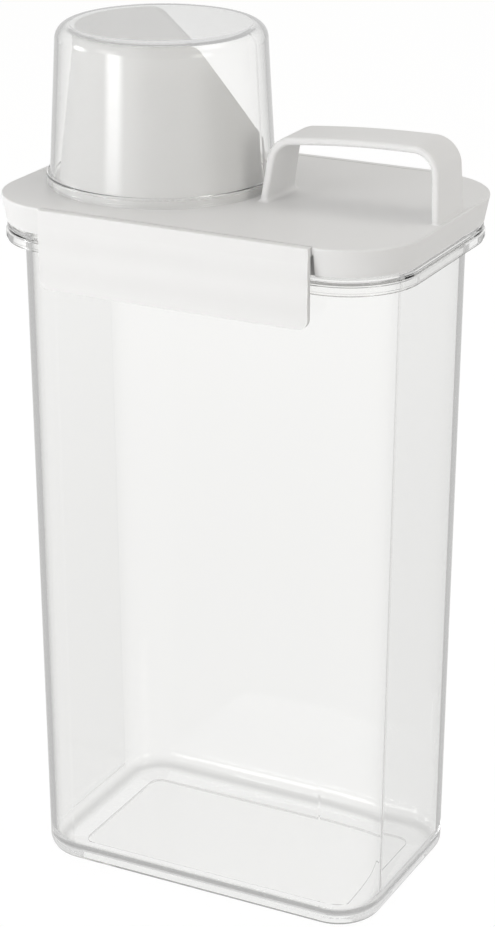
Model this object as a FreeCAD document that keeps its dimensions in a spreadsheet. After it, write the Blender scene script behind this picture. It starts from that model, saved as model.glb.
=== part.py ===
import FreeCAD, Part
import math
import os
import Sketcher
from FreeCAD import Vector

# Clear detergent container with a white lid, a pour spout under a measuring cup, an arch
# handle and two snap latches.  Millimetres, +Z up, origin under the middle of the base,
# +X towards the handle, -Y towards the front latch.

SIZES = [
    # Container
    ("body_height", 229.5, "underside of the rim above the base"),
    ("foot_length", 129.7, "outline at the base, along X"),
    ("foot_depth", 81.2, "outline at the base, along Y"),
    ("foot_corner", 16.3, "corner radius at the base"),
    ("wall_flare", 2.5, "how far the walls lean out up to the rim"),
    ("wall", 2.0, "container wall"),
    ("floor", 2.6, "container floor"),
    ("foot_round", 5.5, "outer round under the base"),
    ("floor_round", 7.0, "inner round at the floor"),
    ("recess_length", 104.0, "shallow recess under the base, along X"),
    ("recess_depth", 53.8, "shallow recess under the base, along Y"),
    ("recess_corner", 4.4, "corner radius of that recess"),
    ("recess_rise", 1.0, "height of that recess"),
    # Rim
    ("rim_width", 6.25, "reach of the rim bead from the wall"),
    ("rim_height", 5.3, "rim from its underside to its top lip"),
    ("rim_skin", 1.6, "outer wall of the rim channel"),
    ("rim_plate", 2.1, "top wall of the rim channel"),
    ("rim_band", 1.1, "height of the band below the bead"),
    ("rim_step", 0.5, "how far that band stands back from the bead"),
    ("lip_height", 0.6, "top lip of the rim"),
    ("ring_height", 0.7, "thin ring between the bead and the lip"),
    ("lip_step", 0.45, "how far lip and ring stand back from the bead"),
    ("groove_height", 0.5, "fine groove below and above the ring"),
    ("groove_step", 1.0, "depth of those grooves behind the bead"),
    ("mouth_rise", 5.6, "mouth wall above the rim's lip"),
    ("mouth_round", 0.6, "round on the mouth's edge"),
    # Lid
    ("lid_overhang", 1.4, "lid edge beyond the rim bead"),
    ("lid_plate", 2.4, "lid's top plate"),
    ("skirt_height", 9.8, "skirt from the lid's top to its lower edge"),
    ("skirt_draft", 1.9, "how far the skirt's lower edge stands in"),
    ("skirt_wall", 1.8, "skirt wall"),
    ("lid_round", 0.6, "round on the lid's top edge"),
    ("plug_gap", 0.6, "clearance between the plug wall and the mouth"),
    ("plug_wall", 1.6, "plug wall"),
    ("plug_overlap", 4.1, "how far the plug reaches into the mouth"),
    ("rib_gap", 0.5, "clearance between the mouth and the rib round it"),
    ("rib_wall", 1.4, "rib outside the gasket"),
    ("rib_overlap", 2.0, "how far that rib reaches past the mouth's edge"),
    # Gasket
    ("gasket_height", 2.1, "gasket height"),
    ("gasket_gap", 0.1, "gasket above the mouth's edge"),
    ("gasket_side", 0.05, "gasket to the channel's side walls"),
    ("gasket_round", 0.5, "round on the gasket's lower edges"),
    # Handle
    ("handle_width", 21.0, "strap width along Y, at the lid"),
    ("handle_taper", 1.25, "how far each side of the strap leans in over its height"),
    ("handle_rise", 24.1, "top of the arch above the lid, at its end over the lid's edge"),
    ("handle_fall", 2.8, "how much lower the arch's top is beside the cup"),
    ("handle_crown", 1.1, "height of the gentle curve along the arch's top"),
    ("handle_strap", 2.4, "strap thickness"),
    ("handle_leg", 2.5, "leg thickness"),
    ("handle_near", 10.3, "outer face of the leg beside the cup, at the lid"),
    ("handle_lean", 3.3, "how far that leg leans in over its height"),
    ("handle_far_inset", 1.4, "outer face of the other leg in from the lid's end, at the lid"),
    ("handle_far_lean", 1.2, "how far the other leg leans in"),
    ("handle_bend", 9.0, "outer radius of the arch's corners"),
    ("handle_round", 0.9, "round on the strap's edges"),
    ("handle_near_blend", 1.6, "blend at the foot of the leg beside the cup"),
    ("handle_far_blend", 0.5, "blend at the foot of the other leg"),
    # Spout
    ("spout_offset", 31.0, "spout axis from the middle of the lid, towards -X"),
    ("spout_turn", 39.6, "heading of the slanted mouth from +X, in degrees"),
    ("spout_rise", 51.2, "roof of the spout above the lid"),
    ("spout_base_radius", 34.9, "cone radius at the lid"),
    ("spout_top_radius", 28.5, "cone radius at the roof"),
    ("spout_wall", 1.6, "spout wall"),
    ("spout_flange_radius", 36.0, "flange that rests on the lid"),
    ("spout_flange", 2.0, "flange thickness"),
    ("spout_drain", 1.5, "rise of the sloping floor inside the spout"),
    ("neck_radius", 29.4, "neck through the lid"),
    ("neck_wall", 2.4, "neck wall"),
    ("neck_gap", 0.1, "clearance between the neck and its collar"),
    ("snap_reach", 0.5, "bead below the collar that holds the spout"),
    ("snap_height", 0.7, "height of that bead"),
    ("collar_wall", 1.8, "collar under the lid"),
    ("collar_depth", 5.6, "collar below the plate"),
    ("ridge_offset", 5.4, "start of the slanted mouth past the spout's axis"),
    ("mouth_slope", 1.4, "fall of the slanted mouth for each unit outwards"),
    ("ridge_run", 3.0, "how far the curve over the mouth's ridge reaches to each side"),
    ("ridge_swell", 0.5, "height of that curve over its chord"),
    ("spout_round", 0.8, "round on the roof's edge"),
    ("seal_section", 1.4, "height of the seal's groove"),
    ("seal_depth", 1.0, "depth of the seal's groove"),
    ("seal_level", 5.0, "middle of the seal below the lid's top"),
    ("seat_gap", 0.05, "gap under a piece that rests on the lid"),
    # Measuring cup
    ("cup_height", 52.95, "cup height"),
    ("cup_mouth_radius", 37.95, "cone radius at the cup's mouth"),
    ("cup_base_radius", 34.9, "cone radius at the cup's base"),
    ("cup_wall", 1.5, "cup wall"),
    ("cup_floor", 1.7, "cup base thickness"),
    ("cup_round", 5.1, "outer round at the cup's base"),
    ("cup_bead", 1.1, "reach of the bead round the cup's mouth"),
    ("cup_bead_height", 3.6, "height of that bead"),
    ("cup_bead_round", 0.7, "round on the bead's edges"),
    # Latches
    ("latch_length", 96.6, "latch length along X"),
    ("latch_height", 26.4, "latch from the lid's top to its lower edge"),
    ("latch_proud", 1.65, "latch face beyond the lid's edge"),
    ("latch_wall", 1.8, "latch thickness"),
    ("hinge_drop", 1.5, "hinge line below the lid's top and behind the latch's face"),
    ("hinge_land", 1.2, "flat top of the latch behind the hinge line"),
    ("hinge_gap", 0.2, "clearance round the hinge"),
    ("hinge_end_gap", 0.3, "clearance at the hinge's ends"),
    ("latch_wave", 0.1, "height of the soft swells and dips in the latch's face"),
    ("wave_start", 5.0, "first swell below the lid's top"),
    ("wave_end", 1.4, "last dip above the latch's lower edge"),
    ("latch_corner", 3.5, "lower corner radius"),
    ("latch_edge", 0.5, "round on the latch's upper edge, which turns inside the lid's groove"),
    ("hook_gap", 0.5, "hook below the rim"),
    ("hook_reach", 2.7, "hook inwards from the latch's inner face"),
    ("hook_height", 2.0, "hook height at its tip"),
    ("hook_ramp", 2.2, "sloping side below the hook"),
    ("hook_inset", 5.0, "end of the hook in from the latch's end"),
    ("pocket_end", 0.8, "pocket beyond the latch's end"),
    ("pocket_depth", 3.55, "back of the pocket in from the lid's edge"),
    ("pocket_wall", 1.6, "wall at the pocket's ends"),
]

document = FreeCAD.newDocument("DetergentContainer")
sheet = document.addObject("Spreadsheet::Sheet", "Size")
for row, (alias, value, note) in enumerate(SIZES, start=1):
    sheet.set(f"A{row}", alias)
    sheet.set(f"B{row}", str(value))
    sheet.set(f"C{row}", note)
    sheet.setAlias(f"B{row}", alias)
document.recompute()

# Coordinates closer together than this count as the same
SAME = 1e-4

# Levels and outlines that several pieces share
MOUTH_LENGTH = "(Size.foot_length + 2 * Size.wall_flare)"
MOUTH_DEPTH = "(Size.foot_depth + 2 * Size.wall_flare)"
MOUTH_CORNER = "(Size.foot_corner + Size.wall_flare)"
RIM_TOP = "(Size.body_height + Size.rim_height)"
MOUTH_TOP = f"({RIM_TOP} + Size.mouth_rise)"
LID_TOP = f"({MOUTH_TOP} + Size.gasket_gap + Size.gasket_height + Size.lid_plate)"
LID_REACH = "(Size.rim_width + Size.lid_overhang)"
LID_LENGTH = f"({MOUTH_LENGTH} + 2 * {LID_REACH})"
LID_DEPTH = f"({MOUTH_DEPTH} + 2 * {LID_REACH})"
LID_CORNER = f"({MOUTH_CORNER} + {LID_REACH})"
HINGE_Y = f"({LID_DEPTH} / 2 + Size.latch_proud - Size.hinge_drop)"
HINGE_CLEAR = "(sqrt(Size.hinge_drop ^ 2 + Size.hinge_land ^ 2) + Size.hinge_gap)"
NECK_BORE = "(Size.neck_radius + Size.neck_gap)"
PLUG_INSET = "(Size.wall + Size.plug_gap)"
PLUG_DEPTH = f"({LID_TOP} - {MOUTH_TOP} + Size.plug_overlap)"
RIB_DEPTH = f"({LID_TOP} - {MOUTH_TOP} + Size.rib_overlap)"


def number(expression):
    """The present value of an expression on the sheet."""
    return float(sheet.evalExpression(expression))


# ---------------------------------------------------------------- building blocks

def new_body(node, x="0", y="0", z="0", turn="0"):
    """A PartDesign body whose own origin stands at x, y, z and is turned about Z."""
    body = document.addObject("PartDesign::Body", node)
    body.Label = node
    body.setExpression("Placement.Base.x", x)
    body.setExpression("Placement.Base.y", y)
    body.setExpression("Placement.Base.z", z)
    body.setExpression("Placement.Rotation.Angle", turn)
    return body


def new_sketch(body, name, role="XY_Plane", level="0"):
    """A sketch on one of the body's own origin planes, raised along the plane's normal."""
    plane = next(item for item in body.Origin.OriginFeatures if item.Role == role)
    sketch = body.newObject("Sketcher::SketchObject", name)
    sketch.AttachmentSupport = [(plane, "")]
    sketch.MapMode = "FlatFace"
    sketch.setExpression("AttachmentOffset.Base.z", level)
    return sketch


def hold(sketch, kind, elements, expression):
    """Add a size constraint to the sketch and bind it to an expression."""
    index = sketch.addConstraint(Sketcher.Constraint(kind, *elements, number(expression)))
    sketch.setExpression(f"Constraints[{index}]", expression)


def add_rounded_rectangle(sketch, length, depth, corner):
    """A rounded rectangle round the sketch's origin, held by three sizes."""
    radius = number(corner)
    x = number(length) / 2 - radius
    y = number(depth) / 2 - radius
    centres = [Vector(x, -y), Vector(x, y), Vector(-x, y), Vector(-x, -y)]
    first = sketch.GeometryCount
    for index, centre in enumerate(centres):
        start = math.radians(90 * (index - 1))
        outward = Vector(radius * math.cos(start), radius * math.sin(start))
        arc = Part.Circle(centre, Vector(0, 0, 1), radius)
        sketch.addGeometry(Part.LineSegment(centres[index - 1] + outward, centre + outward))
        sketch.addGeometry(Part.ArcOfCircle(arc, start, start + math.pi / 2))
    for index in range(8):
        following = first + (index + 1) % 8
        sketch.addConstraint(Sketcher.Constraint("Tangent", first + index, 2, following, 1))
    for arc in (3, 5, 7):
        sketch.addConstraint(Sketcher.Constraint("Equal", first + 1, first + arc))
    sketch.addConstraint(Sketcher.Constraint("Horizontal", first + 4))
    sketch.addConstraint(Sketcher.Constraint("Vertical", first + 6))
    sketch.addConstraint(Sketcher.Constraint("Symmetric", first, 1, first, 2, -2))
    sketch.addConstraint(Sketcher.Constraint("Symmetric", first + 2, 1, first + 2, 2, -1))
    hold(sketch, "DistanceX", (first + 6, 1, first + 2, 2), length)
    hold(sketch, "DistanceY", (first, 1, first + 4, 2), depth)
    hold(sketch, "Radius", (first + 1,), corner)


def add_outline(sketch, corners):
    """A closed outline of (x, y) corners; a third value swells the edge that follows into an arc.

    The swell is the arc's height over its chord, and "-" before it swells to the other side.
    """
    points = [Vector(number(corner[0]), number(corner[1])) for corner in corners]
    edges = []
    for index, corner in enumerate(corners):
        start = points[index]
        end = points[(index + 1) % len(points)]
        if len(corner) == 2:
            edges.append((sketch.addGeometry(Part.LineSegment(start, end)), 1, 2))
            continue
        swell = number(corner[2].lstrip("-")) * (-1 if corner[2].startswith("-") else 1)
        middle = (start + end) / 2 + Vector(start.y - end.y, end.x - start.x).normalize() * swell
        arc = sketch.addGeometry(Part.Arc(start, middle, end))
        forward = sketch.getPoint(arc, 1).isEqual(start, 1e-6)
        edges.append((arc, 1, 2) if forward else (arc, 2, 1))
    for index, corner in enumerate(corners):
        edge, start, end = edges[index]
        following, following_start, _ = edges[(index + 1) % len(corners)]
        sketch.addConstraint(Sketcher.Constraint("Coincident", edge, end, following, following_start))
        hold(sketch, "DistanceX", (-1, 1, edge, start), corner[0])
        hold(sketch, "DistanceY", (-1, 1, edge, start), corner[1])
        if len(corner) == 3:
            after = corners[(index + 1) % len(corners)]
            chord = " + ".join(f"(({one}) - ({other})) ^ 2" for one, other in zip(after, corner[:2]))
            swell = corner[2].lstrip("-")
            hold(sketch, "Radius", (edge,), f"({chord}) / (8 * {swell}) + {swell} / 2")


def add_circle(sketch, radius, x="0", y="0"):
    """A circle held by its radius and its centre."""
    centre = Vector(number(x), number(y))
    circle = sketch.addGeometry(Part.Circle(centre, Vector(0, 0, 1), number(radius)))
    hold(sketch, "Radius", (circle,), radius)
    hold(sketch, "DistanceX", (-1, 1, circle, 3), x)
    hold(sketch, "DistanceY", (-1, 1, circle, 3), y)


def feature(body, kind, name, profile, sizes=None, **settings):
    """A sketch-based feature; it has to add to the body, or take from it, as its kind says."""
    before = body.Shape.Volume if body.Tip else 0.0
    item = body.newObject("PartDesign::" + kind, name)
    item.Profile = profile
    for key, value in settings.items():
        setattr(item, key, value)
    for key, expression in (sizes or {}).items():
        item.setExpression(key, expression)
    document.recompute()
    takes = kind in ("Pocket", "Groove", "SubtractiveLoft", "SubtractivePipe")
    change = item.Shape.Volume - before
    if (change >= 0) if takes else (change <= 0):
        raise RuntimeError(f"{body.Label}.{name} changed the volume by {change:.3f}")
    return item


def draft(body, name, angle, chosen, outer):
    """Lean the faces that the test picks out, turning them about the body's own XY plane.

    Going up they lean into the material, or out of it where outer is true.
    """
    tip = body.Tip
    faces = [f"Face{index}" for index, face in enumerate(tip.Shape.Faces, start=1) if chosen(face)]
    floor = next(item for item in body.Origin.OriginFeatures if item.Role == "XY_Plane")
    item = body.newObject("PartDesign::Draft", name)
    item.Base = (tip, faces)
    item.NeutralPlane = (floor, [""])
    item.Reversed = outer
    item.setExpression("Angle", angle)
    document.recompute()
    return item


def fillet(body, name, radius, chosen):
    """Round the edges of the body's tip that the test picks out."""
    tip = body.Tip
    edges = [f"Edge{index}" for index, edge in enumerate(tip.Shape.Edges, start=1) if chosen(edge)]
    if not edges:
        raise RuntimeError(f"{body.Label}.{name} found no edge")
    item = body.newObject("PartDesign::Fillet", name)
    item.Base = (tip, edges)
    item.setExpression("Radius", radius)
    document.recompute()
    if item.Shape.isNull() or not item.Shape.isValid():
        raise RuntimeError(f"{body.Label}.{name} failed")
    return item


def near(one, other):
    """True where two coordinates are the same."""
    return abs(one - other) < SAME


def spans(item, low, high):
    """True for an edge or a face that reaches from one height to another."""
    return near(item.BoundBox.ZMin, low) and near(item.BoundBox.ZMax, high)


def at_level(edge, level):
    """True for an edge that lies wholly at one height."""
    return spans(edge, level, level)


def across(edge, axis, first, second):
    """True for a straight edge along X or Y that passes through a point of the section."""
    box = edge.BoundBox
    if axis == "X":
        return near(box.YMin, first) and near(box.YMax, first) and at_level(edge, second)
    return near(box.XMin, first) and near(box.XMax, first) and at_level(edge, second)


def inside(edge, low, high, half):
    """True for an edge on the XY plane that lies in a box from low to high along X."""
    box = edge.BoundBox
    return (at_level(edge, 0) and low - SAME < box.XMin and box.XMax < high + SAME
            and max(-box.YMin, box.YMax) < half + SAME)


# ---------------------------------------------------------------- container

def add_mouth_outline(sketch, offset):
    """The mouth's rounded rectangle, moved outwards by an offset."""
    add_rounded_rectangle(sketch, f"{MOUTH_LENGTH} + 2 * ({offset})",
                          f"{MOUTH_DEPTH} + 2 * ({offset})", f"{MOUTH_CORNER} + ({offset})")


def make_container():
    """Tall tapered box with a channel-section rim and a mouth that stands up into the lid."""
    body = new_body("container")
    flare = "atan(Size.wall_flare / Size.body_height)"
    floor_level = number("Size.floor")
    shoulder = number("Size.body_height")

    foot = new_sketch(body, "FootOutline")
    add_rounded_rectangle(foot, "Size.foot_length", "Size.foot_depth", "Size.foot_corner")
    feature(body, "Pad", "Walls", foot, {"Length": "Size.body_height"})
    draft(body, "WallLean", flare, lambda face: spans(face, 0, shoulder), outer=True)
    fillet(body, "FootRound", "Size.foot_round", lambda edge: at_level(edge, 0))

    cavity = new_sketch(body, "FloorOutline", level="Size.floor")
    add_rounded_rectangle(cavity, "Size.foot_length - 2 * Size.wall",
                          "Size.foot_depth - 2 * Size.wall", "Size.foot_corner - Size.wall")
    feature(body, "Pocket", "Cavity", cavity, {"Length": "Size.body_height - Size.floor"}, Reversed=True)
    draft(body, "CavityLean", flare, lambda face: spans(face, floor_level, shoulder),
          outer=False)
    fillet(body, "FloorRound", "Size.floor_round", lambda edge: at_level(edge, floor_level))

    mouth = new_sketch(body, "MouthOutline", level="Size.body_height")
    add_mouth_outline(mouth, "0")
    add_mouth_outline(mouth, "0 - Size.wall")
    feature(body, "Pad", "MouthWall", mouth, {"Length": f"{MOUTH_TOP} - Size.body_height"})
    add_rim(body)
    fillet(body, "MouthRound", "Size.mouth_round", lambda edge: at_level(edge, number(MOUTH_TOP)))

    recess = new_sketch(body, "BaseRecess")
    add_rounded_rectangle(recess, "Size.recess_length", "Size.recess_depth", "Size.recess_corner")
    feature(body, "Pocket", "Recess", recess, {"Length": "Size.recess_rise"}, Reversed=True)
    return body


def add_rim(body):
    """Rim channel, hollow from below: band, bead, groove, ring, groove and lip round the mouth."""
    upper = "(2 * Size.groove_height + Size.ring_height + Size.lip_height)"
    bands = [
        ("Band", "Size.rim_band", "Size.rim_step"),
        ("Bead", f"(Size.rim_height - Size.rim_band - {upper})", "0"),
        ("LowerGroove", "Size.groove_height", "Size.groove_step"),
        ("Ring", "Size.ring_height", "Size.lip_step"),
        ("UpperGroove", "Size.groove_height", "Size.groove_step"),
        ("Lip", "Size.lip_height", "Size.lip_step"),
    ]
    level = "Size.body_height"
    for name, height, step in bands:
        outline = new_sketch(body, f"Rim{name}Outline", level=level)
        add_mouth_outline(outline, f"Size.rim_width - {step}")
        add_mouth_outline(outline, "0 - Size.wall / 2")
        feature(body, "Pad", f"Rim{name}", outline, {"Length": height})
        level = f"{level} + {height}"
    channel = new_sketch(body, "RimChannelOutline", level="Size.body_height")
    add_mouth_outline(channel, "0")
    add_mouth_outline(channel, "Size.rim_width - Size.rim_step - Size.rim_skin")
    feature(body, "Pocket", "RimChannel", channel,
            {"Length": "Size.rim_height - Size.rim_plate"}, Reversed=True)


# ---------------------------------------------------------------- lid

def make_lid():
    """White lid: skirt, plug wall, gasket channel, latch pockets, spout collar and handle."""
    body = new_body("lid", z=LID_TOP)
    slope = "atan(Size.skirt_draft / Size.skirt_height)"
    lower_edge = -number("Size.skirt_height")
    under = -number("Size.lid_plate")

    outline = new_sketch(body, "LidOutline")
    add_rounded_rectangle(outline, LID_LENGTH, LID_DEPTH, LID_CORNER)
    feature(body, "Pad", "Cap", outline, {"Length": "Size.skirt_height"}, Reversed=True)
    draft(body, "SkirtLean", slope, lambda face: spans(face, lower_edge, 0), outer=True)
    fillet(body, "LidRound", "Size.lid_round", lambda edge: at_level(edge, 0))

    hollow = new_sketch(body, "HollowOutline", level="0 - Size.lid_plate")
    add_mouth_outline(hollow, f"{LID_REACH} - Size.skirt_wall")
    feature(body, "Pocket", "Hollow", hollow, {"Length": "Size.skirt_height - Size.lid_plate"})
    draft(body, "HollowLean", slope, lambda face: spans(face, lower_edge, under), outer=False)

    rings = [
        ("Plug", f"0 - {PLUG_INSET}", f"0 - {PLUG_INSET} - Size.plug_wall", PLUG_DEPTH),
        ("Rib", "Size.rib_gap + Size.rib_wall", "Size.rib_gap", RIB_DEPTH),
    ]
    for name, outer, inner, reach in rings:
        ring = new_sketch(body, f"{name}Outline", level="0 - Size.lid_plate")
        add_mouth_outline(ring, outer)
        add_mouth_outline(ring, inner)
        feature(body, "Pad", name, ring, {"Length": f"{reach} - Size.lid_plate"}, Reversed=True)

    add_latch_pockets(body)
    add_spout_collar(body)
    add_handle(body)
    return body


def add_latch_pockets(body):
    """A recess in each long side of the skirt, and the groove in which the latch turns."""
    edge = f"{LID_DEPTH} / 2"
    pocket_reach = "(Size.latch_length + 2 * Size.pocket_end)"
    steps = [
        # name, kind, section, near and far from the middle, low and high, length along X
        ("PocketWall", "Pad", f"{MOUTH_DEPTH} / 2 + Size.rib_gap + Size.rib_wall / 2",
         f"{edge} - Size.skirt_draft - Size.rib_gap / 2", "0 - Size.skirt_height",
         "0 - Size.lid_plate", f"{pocket_reach} + 2 * Size.pocket_wall"),
        ("LatchPocket", "Pocket", f"{edge} - Size.pocket_depth", f"{edge} + Size.wall",
         "0 - Size.skirt_height - Size.wall", "0 - Size.lid_plate", pocket_reach),
    ]
    for name, kind, close, far, low, high, length in steps:
        section = new_sketch(body, f"{name}Section", "YZ_Plane")
        for side in ("", "0 - "):
            y_close = f"{side}({close})"
            y_far = f"{side}({far})"
            add_outline(section, [(y_close, low), (y_far, low), (y_far, high), (y_close, high)])
        feature(body, kind, name, section, {"Length": length}, Midplane=True)
    groove = new_sketch(body, "HingeGrooveSection", "YZ_Plane")
    add_circle(groove, HINGE_CLEAR, HINGE_Y, "0 - Size.hinge_drop")
    add_circle(groove, HINGE_CLEAR, f"0 - {HINGE_Y}", "0 - Size.hinge_drop")
    feature(body, "Pocket", "HingeGroove", groove,
            {"Length": "Size.latch_length + 2 * Size.hinge_end_gap"}, Midplane=True)


def add_spout_collar(body):
    """The bore for the spout's neck and the collar round it under the plate."""
    collar = new_sketch(body, "CollarOutline", level="0 - Size.lid_plate")
    add_circle(collar, f"{NECK_BORE} + Size.collar_wall", "0 - Size.spout_offset")
    feature(body, "Pad", "Collar", collar, {"Length": "Size.collar_depth"}, Reversed=True)
    bore = new_sketch(body, "NeckBore")
    add_circle(bore, NECK_BORE, "0 - Size.spout_offset")
    feature(body, "Pocket", "NeckHole", bore, {"Length": "Size.lid_plate + Size.collar_depth"})


def add_handle(body):
    """Arch strap over the free end of the lid, in one piece with it."""
    root = "0 - Size.lid_plate / 2"
    far_rise = "Size.handle_rise"
    near_rise = "(Size.handle_rise - Size.handle_fall)"
    near_leg = "Size.handle_near"
    near_top = f"({near_leg} + Size.handle_lean)"
    near_inner = f"{near_top} + Size.handle_leg"
    far_leg = f"({LID_LENGTH} / 2 - Size.handle_far_inset)"
    far_top = f"({far_leg} - Size.handle_far_lean)"
    far_inner = f"{far_top} - Size.handle_leg"
    near_soffit = f"{near_rise} - Size.handle_strap"
    far_soffit = f"{far_rise} - Size.handle_strap"
    arch = new_sketch(body, "HandleArch", "XZ_Plane")
    add_outline(arch, [
        (near_leg, root), (near_top, near_rise, "Size.handle_crown"), (far_top, far_rise),
        (far_leg, root), (f"{far_leg} - Size.handle_leg", root),
        (far_inner, far_soffit, "-Size.handle_crown"), (near_inner, near_soffit),
        (f"{near_leg} + Size.handle_leg", root)])
    feature(body, "Pad", "Handle", arch, {"Length": "Size.handle_width"}, Midplane=True)
    half = number("Size.handle_width") / 2
    draft(body, "HandleTaper", "atan(Size.handle_taper / Size.handle_rise)",
          lambda face: near(face.BoundBox.YLength, 0) and near(abs(face.BoundBox.YMin), half),
          outer=False)

    def bend(name, radius, corners):
        places = [(number(x), number(z)) for x, z in corners]
        fillet(body, name, radius, lambda edge: any(across(edge, "Y", x, z) for x, z in places))

    bend("HandleBend", "Size.handle_bend", [(near_top, near_rise), (far_top, far_rise)])
    bend("HandleInnerBend", "Size.handle_bend - Size.handle_strap",
         [(near_inner, near_soffit), (far_inner, far_soffit)])
    fillet(body, "HandleRound", "Size.handle_round",
           lambda edge: edge.BoundBox.ZMax > SAME and edge.BoundBox.YLength < half
           and abs(edge.BoundBox.Center.y) > half / 2)
    fillet(body, "HandleNearBlend", "Size.handle_near_blend",
           lambda edge: inside(edge, number(near_leg), number(near_inner), half))
    fillet(body, "HandleFarBlend", "Size.handle_far_blend",
           lambda edge: inside(edge, number(far_inner), number(far_leg), half))


def make_gasket():
    """Silicone ring between the plug wall and the rib, over the container's mouth."""
    body = new_body("lid_gasket", z=f"{LID_TOP} - Size.lid_plate")
    ring = new_sketch(body, "GasketOutline", level="0 - Size.seat_gap")
    add_mouth_outline(ring, "Size.rib_gap - Size.gasket_side")
    add_mouth_outline(ring, f"0 - {PLUG_INSET} + Size.gasket_side")
    feature(body, "Pad", "Ring", ring, {"Length": "Size.gasket_height - Size.seat_gap"}, Reversed=True)
    fillet(body, "RingRound", "Size.gasket_round",
           lambda edge: at_level(edge, -number("Size.gasket_height")))
    return body


# ---------------------------------------------------------------- spout and cup

def spout_radius(height):
    """Outer radius of the spout's cone at a height above the lid."""
    return ("(Size.spout_base_radius + (Size.spout_top_radius - Size.spout_base_radius)"
            f" * ({height}) / Size.spout_rise)")


def turned(body, kind, name, corners):
    """Revolve a closed section about the body's own Z axis."""
    section = new_sketch(body, f"{name}Section", "XZ_Plane")
    add_outline(section, corners)
    return feature(body, kind, name, section, ReferenceAxis=(section, ["V_Axis"]), Angle=360)


def make_spout():
    """Tapered spout with a closed roof, one slanted mouth and a neck that snaps into the lid."""
    body = new_body("pour_spout", x="0 - Size.spout_offset", z=LID_TOP, turn="Size.spout_turn")
    flange_top = "(Size.seat_gap + Size.spout_flange)"
    drain_top = f"({flange_top} + Size.spout_drain)"
    snap_top = "(0 - Size.lid_plate - Size.collar_depth - Size.neck_gap)"
    neck_end = f"({snap_top} - Size.snap_height)"
    bore = "(Size.neck_radius - Size.neck_wall)"
    turned(body, "Revolution", "Shell", [
        (bore, neck_end), ("Size.neck_radius", neck_end),
        ("Size.neck_radius + Size.snap_reach", snap_top), ("Size.neck_radius", snap_top),
        ("Size.neck_radius", "Size.seat_gap"), ("Size.spout_flange_radius", "Size.seat_gap"),
        ("Size.spout_flange_radius", flange_top), (spout_radius(flange_top), flange_top),
        ("Size.spout_top_radius", "Size.spout_rise"), ("0", "Size.spout_rise"),
        ("0", "Size.spout_rise - Size.spout_wall"),
        (f"{spout_radius('Size.spout_rise - Size.spout_wall')} - Size.spout_wall",
         "Size.spout_rise - Size.spout_wall"),
        (f"{spout_radius(drain_top)} - Size.spout_wall", drain_top), (bore, flange_top)])
    fillet(body, "RoofRound", "Size.spout_round",
           lambda edge: at_level(edge, number("Size.spout_rise")))
    low = "(0 - Size.seal_level - Size.seal_section / 2)"
    high = "(0 - Size.seal_level + Size.seal_section / 2)"
    floor = "Size.neck_radius - Size.seal_depth"
    turned(body, "Groove", "SealGroove", [
        (floor, low), (NECK_BORE, low), (NECK_BORE, high), (floor, high)])

    mouth = new_sketch(body, "SlantedMouthSection", "XZ_Plane")
    far = "(Size.spout_flange_radius + Size.spout_wall)"
    above = "Size.spout_rise + Size.spout_wall"
    start = "Size.ridge_offset - Size.ridge_run"
    run = "Size.ridge_run / sqrt(1 + Size.mouth_slope ^ 2)"
    add_outline(mouth, [
        (start, "Size.spout_rise", "Size.ridge_swell"),
        (f"Size.ridge_offset + {run}", f"Size.spout_rise - Size.mouth_slope * {run}"),
        (far, f"Size.spout_rise - Size.mouth_slope * ({far} - Size.ridge_offset)"),
        (far, above), (start, above)])
    feature(body, "Pocket", "SlantedMouth", mouth, {"Length": "3 * Size.spout_flange_radius"},
            Midplane=True)
    return body


def make_seal():
    """Silicone ring in the neck's groove."""
    body = new_body("spout_seal", x="0 - Size.spout_offset", z=f"{LID_TOP} - Size.seal_level")
    inner = "(Size.neck_radius - Size.seal_depth + Size.seat_gap)"
    half = "(Size.seal_section / 2 - Size.seat_gap)"
    outer = f"({NECK_BORE} - Size.seat_gap)"
    turned(body, "Revolution", "Ring", [
        (inner, f"0 - {half}"), (outer, f"0 - {half}"), (outer, half), (inner, half)])
    return body


def make_cup():
    """Clear measuring cup, stored with its mouth on the lid."""
    body = new_body("measuring_cup", x="0 - Size.spout_offset", z=f"{LID_TOP} + Size.seat_gap")

    def radius(height):
        return ("(Size.cup_mouth_radius + (Size.cup_base_radius - Size.cup_mouth_radius)"
                f" * ({height}) / Size.cup_height)")

    bead = "(Size.cup_mouth_radius + Size.cup_bead)"
    ceiling = "(Size.cup_height - Size.cup_floor)"
    turned(body, "Revolution", "Shell", [
        ("Size.cup_mouth_radius - Size.cup_wall", "0"), (bead, "0"), (bead, "Size.cup_bead_height"),
        (radius("Size.cup_bead_height"), "Size.cup_bead_height"),
        ("Size.cup_base_radius", "Size.cup_height"), ("0", "Size.cup_height"), ("0", ceiling),
        (f"{radius(ceiling)} - Size.cup_wall", ceiling)])
    height = number("Size.cup_height")
    fillet(body, "BaseRound", "Size.cup_round", lambda edge: at_level(edge, height))
    fillet(body, "InnerRound", "Size.cup_round - Size.cup_wall",
           lambda edge: at_level(edge, number(ceiling)))
    edges = [("0", bead), ("Size.cup_bead_height", bead)]
    fillet(body, "BeadRound", "Size.cup_bead_round",
           lambda edge: any(at_level(edge, number(z)) and near(edge.BoundBox.XMax, number(r))
                            for z, r in edges))
    return body


# ---------------------------------------------------------------- latches

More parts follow.
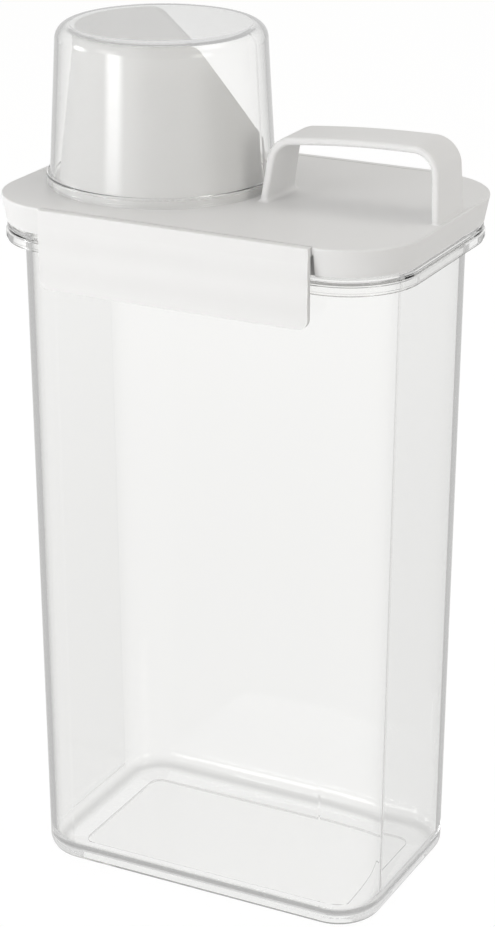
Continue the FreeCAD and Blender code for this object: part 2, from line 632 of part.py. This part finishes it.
def make_latch(node, side, turn):
    """Snap latch: a plate that hangs from the lid's edge and hooks under the rim."""
    body = new_body(node, y=f"{side}{HINGE_Y}", z=f"{LID_TOP} - Size.hinge_drop", turn=turn)
    face = "(0 - Size.hinge_drop)"
    swelled = f"({face} - Size.latch_wave)"
    inner = f"({face} + Size.latch_wall)"
    end = "(Size.hinge_drop - Size.latch_height)"
    hook_top = f"(Size.body_height - Size.hook_gap - {LID_TOP} + Size.hinge_drop)"
    hook_low = f"({hook_top} - Size.hook_height)"
    tip = f"({inner} + Size.hook_reach)"
    root = f"{inner} - Size.latch_wall / 2"
    last = f"({end} + Size.wave_end)"
    ways = ("-", "", "-", "")
    waves = []
    for step, way in enumerate(ways):
        share = f"({len(ways)} - {step}) / {len(ways)}"
        level = f"({last} + (Size.latch_height - Size.wave_start - Size.wave_end) * {share})"
        waves.append((swelled, level, f"{way}Size.latch_wave"))
    section = new_sketch(body, "LatchSection", "YZ_Plane")
    add_outline(section, [
        ("Size.hinge_land", "Size.hinge_drop"), (face, "Size.hinge_drop"), *waves,
        (swelled, last), (f"{swelled} - Size.latch_wave / 2", end),
        (inner, end), (inner, face), ("Size.hinge_land", "0 - Size.hinge_land")])
    feature(body, "Pad", "Plate", section, {"Length": "Size.latch_length"}, Midplane=True)
    hook = new_sketch(body, "HookSection", "YZ_Plane")
    add_outline(hook, [
        (root, f"{hook_low} - Size.hook_ramp"), (inner, f"{hook_low} - Size.hook_ramp"),
        (tip, hook_low), (tip, hook_top), (root, hook_top)])
    feature(body, "Pad", "Hook", hook, {"Length": "Size.latch_length - 2 * Size.hook_inset"},
            Midplane=True)
    top = number("Size.hinge_drop")
    fillet(body, "UpperRound", "Size.latch_edge", lambda edge: across(edge, "X", -top, top))
    bottom = number(end)
    half = number("Size.latch_length") / 2
    fillet(body, "CornerRound", "Size.latch_corner",
           lambda edge: at_level(edge, bottom) and near(abs(edge.BoundBox.XMin), half)
           and near(edge.BoundBox.XLength, 0))
    return body


# ---------------------------------------------------------------- write the pieces

NODES = [
    make_container(),
    make_lid(),
    make_gasket(),
    make_spout(),
    make_seal(),
    make_cup(),
    make_latch("front_latch", "0 - ", "0"),
    make_latch("back_latch", "", "180"),
]
document.recompute()
for item in document.Objects:
    if "Invalid" in item.State or "Error" in item.State:
        raise RuntimeError(f"{item.Label} is {item.State}")
os.makedirs("parts", exist_ok=True)
for node in NODES:
    shape = node.Shape
    if shape.isNull() or not shape.isValid() or len(shape.Solids) != 1:
        raise RuntimeError(f"{node.Label} is not one valid solid")
    shape.exportStep(f"parts/{node.Label}.step")
    box = shape.BoundBox
    print(f"{node.Label:14}{shape.Volume / 1000:9.2f} cm3{len(shape.Faces):5} faces"
          f"  X {box.XMin:.2f} {box.XMax:.2f}  Y {box.YMin:.2f} {box.YMax:.2f}"
          f"  Z {box.ZMin:.2f} {box.ZMax:.2f}")
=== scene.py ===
import math

import bmesh
import bpy
from bpy.props import FloatProperty, FloatVectorProperty, PointerProperty
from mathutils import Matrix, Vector

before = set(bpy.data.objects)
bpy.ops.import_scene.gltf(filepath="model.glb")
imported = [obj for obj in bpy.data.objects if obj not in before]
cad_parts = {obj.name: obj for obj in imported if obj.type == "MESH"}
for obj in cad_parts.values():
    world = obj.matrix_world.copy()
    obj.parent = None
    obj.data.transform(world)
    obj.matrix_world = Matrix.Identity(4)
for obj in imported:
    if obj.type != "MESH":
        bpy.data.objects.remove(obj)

bl_info = {
    "name": "Detergent Container",
    "version": (1, 0, 0),
    "blender": (4, 5, 0),
    "location": "View3D > Sidebar > Container",
    "description": "Clear lidded container with a pour spout, a measuring cup, a handle "
                   "and two latches",
    "category": "Object",
}

# ---------------------------------------------------------------- fixed values

WHITE_IOR, CLEAR_IOR, SEAL_IOR = 1.49, 1.4, 1.41

# Clouds of noise: lumps per metre and detail.
CLOUD = (35.0, 3.0)
GRAIN = (2600.0, 2.0)
RIPPLE = (25.0, 2.0)
DUST = (400.0, 3.0)

# What a cloud does: its darkest and lightest share of the colour, and how far roughness varies.
WHITE_UNEVEN, WHITE_VARIES = (0.99, 1.01), 0.10
SEAL_UNEVEN, SEAL_VARIES = (0.95, 1.03), 0.15

# Bumps: strength, and depth in metres.
GRAIN_STRENGTH = 0.10
RIPPLE_STRENGTH, RIPPLE_DEPTH = 0.05, 0.0005

BLACK, WHITE = (0.0, 0.0, 0.0), (1.0, 1.0, 1.0)
COOL, WARM = (0.985, 0.99, 1.0), (1.0, 0.985, 0.955)
SMOKE = (0.50, 0.50, 0.48)       # what light turns to deep inside clear plastic

EDGE_POWER = 3.0                 # how closely the painted shade of clear plastic keeps to its outline
BEND_POWER = 6.0                 # how close to level clear plastic is where a bend's painted shade sits
BEND_SCALE = 17.6                # brings the strongest painted shade of a bend to 1
MOST_TURNS = 5.0                 # light that was turned more often goes straight on

# Levels, where 1 is white.
CAMERA_FLOOR = 1.07              # of the floor's glow as the camera sees it
MIRROR_FLOOR = 0.80              # of the floor's glow as gloss shows it
TURNED = 0.50                    # of the floor and the walls, once light was reflected inside

FLOOR_GLOW = 0.85                # how much of the floor is glow, the rest being matt and shaded
LEFT_HEAVY = 0.2                 # how much lighter the room is on the left than in the middle
LAMP_MIDDLE = 2.0                # how strong a lamp's middle is, to make up for its faded edges

# Ramps: where each one starts and ends, and its level at either end.
PAINTED_FLOOR_SHADE = ((0.10, 0.90), (1.00, 1.08))   # metres from the middle, through clear plastic: dimmer near the middle, as painted shade
CEILING = ((0.05, 0.35), (1.00, 0.25))     # upwards, through clear plastic
WALLS = ((-0.35, 0.25), (0.20, 0.75))      # from front to back, as gloss shows them
LAMP_EDGE = ((0.10, 0.50), (1.00, 0.00))   # from a lamp's middle to its edge

MIDDLE = (0.0, 0.0, 0.16)
BAND = (-0.03, 0.0, 0.30)        # where the strip lamp's reflection runs down the cup

# Lamps: place, what it points at, size, tint.
LAMPS = {
    "key": ((-0.75, -1.15, 0.75), MIDDLE, (0.9, 0.9), COOL),
    "fill": ((1.38, -0.45, 0.55), MIDDLE, (0.9, 0.9), WARM),
    "side": ((-1.30, -0.45, 0.50), MIDDLE, (0.6, 0.6), COOL),
    "top": ((0.70, 0.30, 1.45), MIDDLE, (0.9, 0.9), WARM),
    "strip": ((-0.50, -1.11, 0.30), BAND, (0.57, 0.70), COOL),
}

CAMERA_PLACE = (0.37748, -0.73500, 0.46889)
CAMERA_DOWN = 21.21              # degrees that it looks below level
CAMERA_TURN = 27.14              # degrees that it looks to the left
CAMERA_LENS = 100.22             # millimetres
CAMERA_CLIP = (0.05, 20.0)       # nearest and farthest that it sees


# ---------------------------------------------------------------- what a user may change

def colour(name, description, default):
    """A colour property with its default."""
    return FloatVectorProperty(name=name, description=description, default=default,
                               size=3, min=0.0, max=1.0, subtype="COLOR")


def share(name, description, default):
    """A property that runs from 0 to 1."""
    return FloatProperty(name=name, description=description, default=default,
                         min=0.0, max=1.0, subtype="FACTOR")


def distance(name, description, default):
    """A length in metres."""
    return FloatProperty(name=name, description=description, default=default,
                         min=0.0, subtype="DISTANCE", unit="LENGTH")


def power(name, description, default):
    """The power of a lamp in watts."""
    return FloatProperty(name=name, description=description, default=default,
                         min=0.0, subtype="POWER", unit="POWER")


class ContainerPlastics(bpy.types.PropertyGroup):
    """Colours and finishes of the moulded pieces."""
    white: colour("White", "Colour of the lid and the latches", (0.80, 0.80, 0.80))
    # Painted shade: the spout's white is darker than the lid's, which darkens the whole spout.
    spout: colour("Spout white", "Colour of the spout", (0.74, 0.74, 0.74))
    satin: share("Satin", "Roughness of the lid and the latches", 0.42)
    gloss: share("Gloss", "Roughness of the spout", 0.38)
    grain: distance("Grain", "Depth of the fine grain on the white pieces", 0.00008)
    clear: colour("Clear", "Tint of the container and the cup", (0.995, 0.995, 0.99))
    body_depth: FloatProperty(
        name="Body density", description="How much a metre of the container's plastic greys",
        default=10.0, min=0.0)
    cup_depth: FloatProperty(
        name="Cup density", description="How much a metre of the cup's plastic greys",
        default=5.0, min=0.0)
    # The edge, cup edge and foot shades are painted shade in the clear plastic's colour.
    body_shade: share("Edge shade", "How much the container darkens seen edge-on", 0.36)
    cup_shade: share("Cup edge shade", "How much the cup darkens seen edge-on", 0.05)
    foot_shade: share("Foot shade", "How much the container's rounded foot darkens", 0.22)
    seal: colour("Seal", "Colour of the two silicone seals", (0.72, 0.73, 0.73))
    seal_matt: share("Seal roughness", "Roughness of the two silicone seals", 0.65)


class ContainerStage(bpy.types.PropertyGroup):
    """Floor, lamps and surroundings."""
    floor_size: distance("Floor", "Half the width of the floor", 3.0)
    floor_tone: share("Floor tone", "Grey level of the floor where it gives off no light", 0.80)
    key: power("Key lamp", "Large soft lamp in front on the left", 4.2)
    fill: power("Fill lamp", "Soft lamp on the right", 3.2)
    side: power("Side lamp", "Small soft lamp on the left", 3.8)
    top: power("Top lamp", "Soft lamp above, behind on the right", 3.7)
    strip: power("Strip lamp", "Upright lamp in front whose reflection runs down the cup", 4.3)
    room: FloatProperty(
        name="Room light", description="Level of the even light from all round",
        default=0.64, min=0.0)


# ---------------------------------------------------------------- shader maths

class Value:
    """A socket of a node tree that can be used in Python arithmetic."""

    def __init__(self, tree, socket):
        self.tree = tree
        self.socket = socket

    def maths(self, operation, other=None, swap=False):
        """One Math node on this value and, where it takes two, another value or number."""
        inputs = [self] if other is None else [self, other]
        if swap:
            inputs.reverse()
        return self.tree.add("ShaderNodeMath", {"operation": operation}, inputs)

    def __add__(self, other):
        return self.maths("ADD", other)

    def __mul__(self, other):
        return self.maths("MULTIPLY", other)

    def __sub__(self, other):
        return self.maths("SUBTRACT", other)

    def __rsub__(self, other):
        return self.maths("SUBTRACT", other, swap=True)

    def __pow__(self, other):
        return self.maths("POWER", other)

    __radd__ = __add__
    __rmul__ = __mul__

    def clamped(self):
        """The value held between 0 and 1."""
        return self.tree.add("ShaderNodeClamp", {}, [self])

    def ramp(self, limits, levels):
        """The first level below the first limit, the second above the other, smooth between."""
        inputs = {"Value": self, "From Min": limits[0], "From Max": limits[1],
                  "To Min": levels[0], "To Max": levels[1]}
        return self.tree.add("ShaderNodeMapRange", {"interpolation_type": "SMOOTHSTEP"}, inputs)

    def output(self, key):
        """Another output of the same node."""
        return Value(self.tree, self.socket.node.outputs[key])

    def split(self):
        """The three parts of a vector."""
        parts = self.tree.add("ShaderNodeSeparateXYZ", {}, [self])
        return [parts.output(key) for key in "XYZ"]


class Tree:
    """A node tree that is being written."""

    def __init__(self, owner):
        owner.use_nodes = True
        self.nodes = owner.node_tree.nodes
        self.links = owner.node_tree.links
        self.nodes.clear()

    def add(self, kind, settings=None, inputs=(), output=0):
        """A node of a type, its settings first, then values or links for its sockets."""
        node = self.nodes.new(kind)
        for key, value in (settings or {}).items():
            setattr(node, key, value)
        pairs = inputs.items() if isinstance(inputs, dict) else enumerate(inputs)
        for key, value in pairs:
            if isinstance(value, Value):
                self.links.new(value.socket, node.inputs[key])
            else:
                node.inputs[key].default_value = value
        return Value(self, node.outputs[output]) if node.outputs else node

    def point(self):
        """The point on the piece, in its own metres."""
        return self.add("ShaderNodeTexCoord", output="Object")

    def noise(self, scale, detail):
        """Soft cloud of values round one half, in lumps of 1 / scale metres."""
        return self.add("ShaderNodeTexNoise", {},
                        {"Vector": self.point(), "Scale": scale, "Detail": detail})

    def blend(self, factor, first, second):
        """One colour that turns into another."""
        return self.add("ShaderNodeMix", {"data_type": "RGBA"},
                        {0: factor, 6: (*first, 1.0), 7: (*second, 1.0)}, output=2)


# ---------------------------------------------------------------- materials

def scaled(tone, factor):
    """A colour made lighter or darker."""
    return tuple(part * factor for part in tone)


def uneven(tree, cloud, tone, darkest, lightest):
    """A colour that a cloud makes a little darker in places and lighter in others."""
    return tree.blend(cloud, scaled(tone, darkest), scaled(tone, lightest))


def white_plastic(name, tone, roughness, grain_depth):
    """Moulded white plastic with a very fine grain and faintly uneven colour and gloss."""
    material = bpy.data.materials.new(name)
    tree = Tree(material)
    cloud = tree.noise(*CLOUD)
    bump = tree.add("ShaderNodeBump", {}, {
        "Strength": GRAIN_STRENGTH, "Distance": grain_depth, "Height": tree.noise(*GRAIN)})
    shader = tree.add("ShaderNodeBsdfPrincipled", {}, {
        "Base Color": uneven(tree, cloud, tone, *WHITE_UNEVEN),
        "Roughness": roughness + (cloud - 0.5) * WHITE_VARIES,
        "IOR": WHITE_IOR,
        "Normal": bump,
    })
    tree.add("ShaderNodeOutputMaterial", {}, {"Surface": shader})
    return material


def clear_plastic(name, tone, density, edge_shade, bend_shade):
    """Clear moulded plastic, greyer with its depth, with painted shade in its colour where it is
    seen edge-on and where it bends.
    """
    material = bpy.data.materials.new(name)
    tree = Tree(material)
    bump = tree.add("ShaderNodeBump", {}, {
        "Strength": RIPPLE_STRENGTH, "Distance": RIPPLE_DEPTH, "Height": tree.noise(*RIPPLE)})
    facing = tree.add("ShaderNodeLayerWeight", {}, {"Blend": 0.5}, output="Facing")
    level = tree.add("ShaderNodeNewGeometry", output="Normal").split()[2].maths("ABSOLUTE")
    upright = 1 - level
    # Painted shade: the base colour darkens on the lower part of bends, such as the container's
    # rounded foot, in place of the dark refractions there.
    bend = (level ** BEND_POWER) * upright * (BEND_SCALE * bend_shade)
    # Painted shade: the base colour darkens where the plastic is seen edge-on, in place of the dark
    # refractions at its outline.
    edge = (facing ** EDGE_POWER) * upright * edge_shade
    shader = tree.add("ShaderNodeBsdfPrincipled", {}, {
        "Base Color": tree.blend(edge + bend, tone, BLACK),
        "Roughness": 0.0,
        "IOR": CLEAR_IOR,
        "Normal": bump,
        "Transmission Weight": 1.0,
    })
    depth = tree.add("ShaderNodeVolumeAbsorption", {},
                     {"Color": (*SMOKE, 1.0), "Density": density})
    turns = tree.add("ShaderNodeLightPath", output="Ray Depth")
    trapped = turns.maths("GREATER_THAN", MOST_TURNS)
    free = tree.add("ShaderNodeBsdfTransparent")
    surface = tree.add("ShaderNodeMixShader", {}, [trapped, shader, free])
    tree.add("ShaderNodeOutputMaterial", {}, {"Surface": surface, "Volume": depth})
    return material


def silicone(name, tone, roughness):
    """Soft pale silicone with a dull, dusty surface."""
    material = bpy.data.materials.new(name)
    tree = Tree(material)
    dust = tree.noise(*DUST)
    shader = tree.add("ShaderNodeBsdfPrincipled", {}, {
        "Base Color": uneven(tree, dust, tone, *SEAL_UNEVEN),
        "Roughness": roughness + (dust - 0.5) * SEAL_VARIES,
        "IOR": SEAL_IOR,
    })
    tree.add("ShaderNodeOutputMaterial", {}, {"Surface": shader})
    return material


def wear(piece, material):
    """Give a mesh one material."""
    piece.data.materials.clear()
    piece.data.materials.append(material)


def wear_clear(piece, material):
    """Give a mesh a clear material and let the lamps reach what is inside it."""
    wear(piece, material)
    piece.visible_shadow = False


# ---------------------------------------------------------------- operators

class CONTAINER_OT_body(bpy.types.Operator):
    """Clear container"""
    bl_idname = "container.body"
    bl_label = "Container"

    def execute(self, context):
        look = context.scene.container_plastics
        plastic = clear_plastic("container_plastic", look.clear, look.body_depth,
                                look.body_shade, look.foot_shade)
        wear_clear(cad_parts["container"], plastic)
        return {"FINISHED"}


class CONTAINER_OT_cup(bpy.types.Operator):
    """Clear measuring cup"""
    bl_idname = "container.cup"
    bl_label = "Measuring cup"

    def execute(self, context):
        look = context.scene.container_plastics
        plastic = clear_plastic("cup_plastic", look.clear, look.cup_depth, look.cup_shade, 0.0)
        wear_clear(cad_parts["measuring_cup"], plastic)
        return {"FINISHED"}


class CONTAINER_OT_lid(bpy.types.Operator):
    """White lid with its handle, and the two white latches"""
    bl_idname = "container.lid"
    bl_label = "Lid and latches"

    def execute(self, context):
        look = context.scene.container_plastics
        satin = white_plastic("satin_plastic", look.white, look.satin, look.grain)
        for name in ("lid", "front_latch", "back_latch"):
            wear(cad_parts[name], satin)
        return {"FINISHED"}


class CONTAINER_OT_spout(bpy.types.Operator):
    """White pour spout, glossier than the lid"""
    bl_idname = "container.spout"
    bl_label = "Pour spout"

    def execute(self, context):
        look = context.scene.container_plastics
        # The spout's darker white carries painted shade.
        gloss = white_plastic("gloss_plastic", look.spout, look.gloss, look.grain / 2)
        wear(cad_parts["pour_spout"], gloss)
        return {"FINISHED"}


class CONTAINER_OT_seals(bpy.types.Operator):
    """Silicone seals under the lid and round the spout"""
    bl_idname = "container.seals"
    bl_label = "Seals"

    def execute(self, context):
        look = context.scene.container_plastics
        soft = silicone("seal_silicone", look.seal, look.seal_matt)
        for name in ("lid_gasket", "spout_seal"):
            wear(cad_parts[name], soft)
        return {"FINISHED"}


# ---------------------------------------------------------------- stage

class Rays(Tree):
    """A node tree that tells apart what camera, gloss, glass and matt surfaces see."""

    def __init__(self, owner):
        super().__init__(owner)
        path = self.add("ShaderNodeLightPath")
        matt = path.output("Diffuse Depth").clamped()
        turned = path.output("Glossy Depth").clamped()
        passing = path.output("Is Transmission Ray")
        self.camera = path.output("Is Camera Ray")
        self.mirror = path.output("Is Glossy Ray") * (1 - passing) * (1 - matt)
        self.straight = passing * (1 - matt) * (1 - turned)
        self.bent = passing * (1 - matt) * turned
        seen = self.camera + self.mirror + self.straight + self.bent
        self.other = 1 - seen.clamped()


def floor_finish(tone):
    """Pale matt floor that camera, glass and gloss see as a white sweep, which glass sees dimmer
    near the middle as painted shade.
    """
    material = bpy.data.materials.new("floor")
    tree = Rays(material)
    x, y = tree.point().split()[:2]
    far = (x ** 2.0 + y ** 2.0) ** 0.5
    # Painted shade: through clear plastic the floor's glow is dimmer near the middle, under the
    # pieces.
    beyond = tree.straight * far.ramp(*PAINTED_FLOOR_SHADE) + tree.bent * TURNED
    glow = tree.add("ShaderNodeEmission", {}, {
        "Strength": tree.camera * CAMERA_FLOOR + tree.mirror * MIRROR_FLOOR + beyond})
    matt = tree.add("ShaderNodeBsdfDiffuse", {}, {"Color": (tone, tone, tone, 1.0)})
    seen = (1 - tree.other) * FLOOR_GLOW
    both = tree.add("ShaderNodeMixShader", {}, [seen, matt, glow])
    tree.add("ShaderNodeOutputMaterial", {}, {"Surface": both})
    return material


def studio(level):
    """White surroundings with a darker ceiling and a dimmer front for what gloss shows."""
    world = bpy.data.worlds.new("studio")
    tree = Rays(world)
    x, y, z = tree.add("ShaderNodeTexCoord", output="Generated").split()
    strength = (tree.camera + tree.straight * z.ramp(*CEILING) + tree.bent * TURNED
                + tree.mirror * y.ramp(*WALLS) + tree.other * (1 - x * LEFT_HEAVY) * level)
    back = tree.add("ShaderNodeBackground", {}, {
        "Color": tree.blend(tree.other, WHITE, WARM),
        "Strength": strength})
    tree.add("ShaderNodeOutputWorld", {}, {"Surface": back})
    return world


def soft_lamp(scene, name, place, target, size, energy, tint):
    """A lamp whose light fades towards its edges."""
    data = bpy.data.lights.new(name, "AREA")
    data.shape = "RECTANGLE"
    data.size, data.size_y = size
    data.energy = energy
    data.color = tint
    tree = Tree(data)
    strength = LAMP_MIDDLE
    for side in tree.add("ShaderNodeNewGeometry", output="Parametric").split()[:2]:
        from_middle = (side - 0.5).maths("ABSOLUTE")
        strength = strength * from_middle.ramp(*LAMP_EDGE)
    glow = tree.add("ShaderNodeEmission", {}, {"Strength": strength})
    tree.add("ShaderNodeOutputLight", {}, {"Surface": glow})
    lamp = bpy.data.objects.new(name, data)
    lamp.location = place
    lamp.rotation_euler = (Vector(target) - Vector(place)).to_track_quat("-Z", "Y").to_euler()
    scene.collection.objects.link(lamp)
    return lamp


def stage_camera(scene):
    """The camera that the scene is seen from."""
    data = bpy.data.cameras.new("camera")
    data.lens = CAMERA_LENS
    data.clip_start, data.clip_end = CAMERA_CLIP
    camera = bpy.data.objects.new("camera", data)
    camera.location = CAMERA_PLACE
    camera.rotation_euler = (math.radians(90 - CAMERA_DOWN), 0.0, math.radians(CAMERA_TURN))
    scene.collection.objects.link(camera)
    scene.camera = camera


class CONTAINER_OT_stage(bpy.types.Operator):
    """Floor, soft studio light, surroundings and camera"""
    bl_idname = "container.stage"
    bl_label = "Stage"

    def execute(self, context):
        scene = context.scene
        look = scene.container_stage
        bm = bmesh.new()
        bmesh.ops.create_grid(bm, x_segments=1, y_segments=1, size=look.floor_size)
        mesh = bpy.data.meshes.new("floor")
        bm.to_mesh(mesh)
        bm.free()
        floor = bpy.data.objects.new("floor", mesh)
        scene.collection.objects.link(floor)
        wear(floor, floor_finish(look.floor_tone))

        scene.world = studio(look.room)
        for name, (place, target, size, tint) in LAMPS.items():
            lamp = soft_lamp(scene, name, place, target, size, getattr(look, name), tint)
            # Through clear plastic the key lamp would show as a bright patch.
            lamp.visible_transmission = name != "key"
        stage_camera(scene)
        scene.view_settings.view_transform = "Standard"
        return {"FINISHED"}


# ---------------------------------------------------------------- panel and registering

class CONTAINER_PT_panel(bpy.types.Panel):
    """Lists the pieces and the stage"""
    bl_label = "Container"
    bl_space_type = "VIEW_3D"
    bl_region_type = "UI"
    bl_category = "Container"

    def draw(self, context):
        for group in (context.scene.container_plastics, context.scene.container_stage):
            for key in group.__annotations__:
                self.layout.prop(group, key)
        for operator in OPERATORS:
            self.layout.operator(operator.bl_idname)


OPERATORS = [
    CONTAINER_OT_body,
    CONTAINER_OT_cup,
    CONTAINER_OT_lid,
    CONTAINER_OT_spout,
    CONTAINER_OT_seals,
    CONTAINER_OT_stage,
]
CLASSES = [ContainerPlastics, ContainerStage, *OPERATORS, CONTAINER_PT_panel]


def register():
    for item in CLASSES:
        bpy.utils.register_class(item)
    bpy.types.Scene.container_plastics = PointerProperty(type=ContainerPlastics)
    bpy.types.Scene.container_stage = PointerProperty(type=ContainerStage)


def unregister():
    del bpy.types.Scene.container_stage
    del bpy.types.Scene.container_plastics
    for item in reversed(CLASSES):
        bpy.utils.unregister_class(item)


def main():
    """Register and make every piece in order."""
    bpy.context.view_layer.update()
    register()
    bpy.ops.container.body()
    bpy.ops.container.cup()
    bpy.ops.container.lid()
    bpy.ops.container.spout()
    bpy.ops.container.seals()
    bpy.ops.container.stage()


if __name__ == "__main__":
    main()
